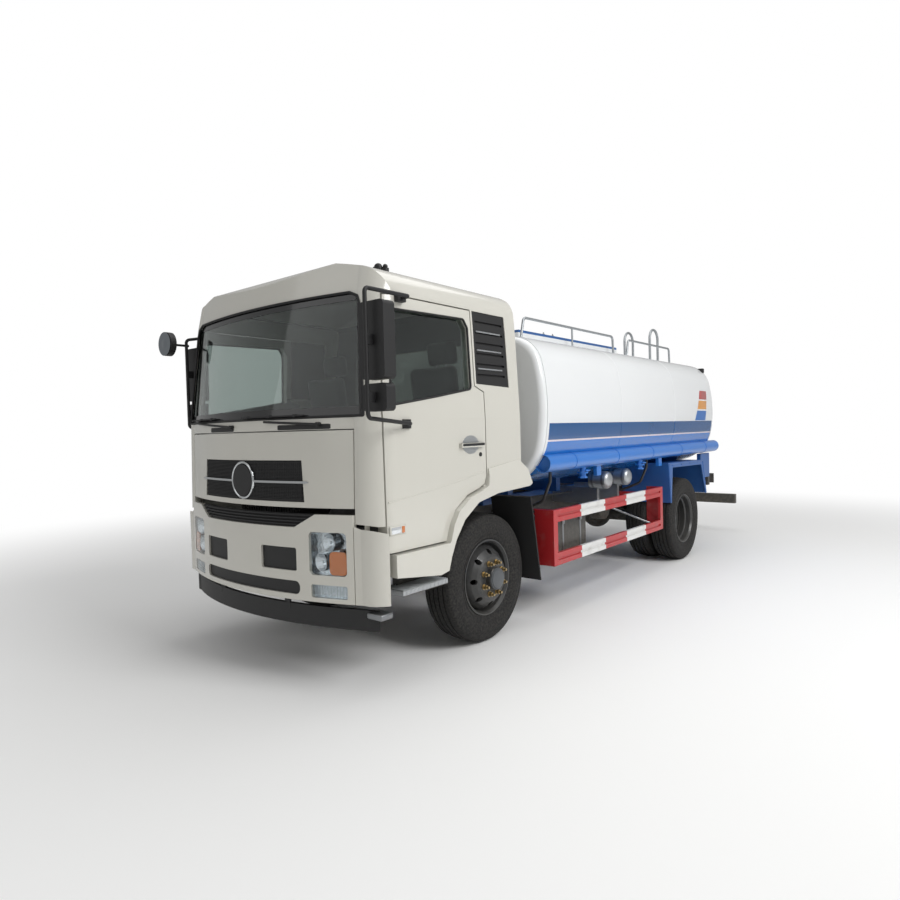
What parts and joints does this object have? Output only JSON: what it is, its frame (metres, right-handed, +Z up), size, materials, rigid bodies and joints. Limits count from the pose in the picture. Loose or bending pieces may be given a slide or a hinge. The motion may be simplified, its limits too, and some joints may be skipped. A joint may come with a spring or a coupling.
{
  "type": "tanker truck",
  "caption": "Two-axle water tanker truck: tilting cab over the engine, oval tank, side guards, ladder, twin rear wheels.",
  "frame": {"origin": "on the ground under the middle of the truck's overall box", "axes": "+Z up, +X to the truck's left, +Y to the rear, so the cab faces -Y"},
  "size_m": [2.78, 7.838, 3.067],
  "materials": {
    "cab_paint": "warm off-white enamel, gloss",
    "tank_paint": "white enamel with blue band, gloss",
    "blue_paint": "mid blue enamel, gloss",
    "mudguard_paint": "dark blue enamel, semi-gloss",
    "chassis_paint": "black chassis paint, satin",
    "guard_paint": "red and white enamel",
    "casting": "black painted castings",
    "rim_paint": "dark grey wheel paint",
    "tyre": "worn black rubber",
    "glass": "clear glass, slightly green",
    "black_plastic": "grained black plastic",
    "grille_plastic": "dark grey plastic",
    "lamp_lens": "clear lamp lens over bright reflector",
    "red_lens": "red lamp lens",
    "trim_plastic": "grey grained interior plastic",
    "seat_cloth": "dark grey woven seat cloth",
    "zinc_steel": "galvanised steel",
    "aluminium": "mill finish aluminium",
    "rubber": "black rubber sheet"
  },
  "bodies": {
    "chassis": {"frame_rails": "chassis_paint", "cross_members": "chassis_paint", "front_axle": "casting", "leaf_springs": "chassis_paint", "rear_axle": "casting", "engine": "casting", "bumper": "cab_paint", "bumper_inserts": "black_plastic", "front_lamps": "lamp_lens", "air_dam": "black_plastic", "cab_steps": "aluminium", "tank": "tank_paint", "manhole_neck": "zinc_steel", "coaming": "tank_paint", "hand_rails": "zinc_steel", "ladder": "zinc_steel", "tank_bearers": "blue_paint", "hose_tubes": "blue_paint", "side_guards": "guard_paint", "front_mudflaps": "rubber", "rear_mudguards": "mudguard_paint", "air_reservoirs": "chassis_paint", "battery_box": "chassis_paint", "fuel_tank": "aluminium", "silencer": "chassis_paint", "water_pump": "casting", "rear_bar": "chassis_paint", "tail_lamps": "red_lens"},
    "cab": {"cab_front": "cab_paint", "cab_sides": "cab_paint", "cab_back": "cab_paint", "cab_roof": "cab_paint", "cab_floor": "chassis_paint", "cab_glass": "glass", "louvres": "cab_paint", "dashboard": "trim_plastic", "steering_wheel": "black_plastic", "seats": "seat_cloth", "wipers": "black_plastic", "wheel_arches": "cab_paint", "bumper_corners": "cab_paint"},
    "service_panel": {"front_panel": "cab_paint", "panel_grille": "grille_plastic"},
    "door_l": {"door_left": "cab_paint", "door_glass_left": "glass", "mirrors_left": "black_plastic"},
    "door_r": {"door_right": "cab_paint", "door_glass_right": "glass", "mirrors_right": "black_plastic"},
    "lid": {"manhole_lid": "zinc_steel"},
    "knuckle_l": {"knuckle_left": "casting"},
    "knuckle_r": {"knuckle_right": "casting"},
    "front_wheel_l": {"front_tyre_left": "tyre", "front_rim_left": "rim_paint"},
    "front_wheel_r": {"front_tyre_right": "tyre", "front_rim_right": "rim_paint"},
    "rear_wheel_l": {"rear_tyres_left": "tyre", "rear_rims_left": "rim_paint"},
    "rear_wheel_r": {"rear_tyres_right": "tyre", "rear_rims_right": "rim_paint"}
  },
  "joints": [
    {"name": "cab_tilt", "type": "hinge", "parent": "chassis", "child": "cab", "pos_m": [0, -3.726, 0.8], "axis": [1, 0, 0], "range_deg": [0, 45]},
    {"name": "door_left_swing", "type": "hinge", "parent": "cab", "child": "door_l", "pos_m": [1.13, -3.596, 1.5], "axis": [0, 0, -1], "range_deg": [0, 68]},
    {"name": "door_right_swing", "type": "hinge", "parent": "cab", "child": "door_r", "pos_m": [-1.13, -3.596, 1.5], "axis": [0, 0, 1], "range_deg": [0, 68]},
    {"name": "panel_lift", "type": "hinge", "parent": "cab", "child": "service_panel", "pos_m": [0, -3.895, 1.695], "axis": [-1, 0, 0], "range_deg": [0, 80]},
    {"name": "lid_swing", "type": "hinge", "parent": "chassis", "child": "lid", "pos_m": [0, 0.264, 2.705], "axis": [-1, 0, 0], "range_deg": [0, 100]},
    {"name": "steer_left", "type": "hinge", "parent": "chassis", "child": "knuckle_l", "pos_m": [0.77, -2.396, 0.506], "axis": [0, 0, 1], "range_deg": [-38, 38]},
    {"name": "steer_right", "type": "hinge", "parent": "chassis", "child": "knuckle_r", "pos_m": [-0.77, -2.396, 0.506], "axis": [0, 0, 1], "range_deg": [-38, 38]},
    {"name": "front_roll_left", "type": "hinge", "parent": "knuckle_l", "child": "front_wheel_l", "pos_m": [0.915, -2.396, 0.506], "axis": [1, 0, 0], "continuous": true},
    {"name": "front_roll_right", "type": "hinge", "parent": "knuckle_r", "child": "front_wheel_r", "pos_m": [-0.915, -2.396, 0.506], "axis": [1, 0, 0], "continuous": true},
    {"name": "rear_roll_left", "type": "hinge", "parent": "chassis", "child": "rear_wheel_l", "pos_m": [0.914, 1.554, 0.506], "axis": [1, 0, 0], "continuous": true},
    {"name": "rear_roll_right", "type": "hinge", "parent": "chassis", "child": "rear_wheel_r", "pos_m": [-0.914, 1.554, 0.506], "axis": [1, 0, 0], "continuous": true}
  ],
  "couplings": [
    {"joint": "steer_right", "follows": "steer_left", "ratio": 1}
  ]
}
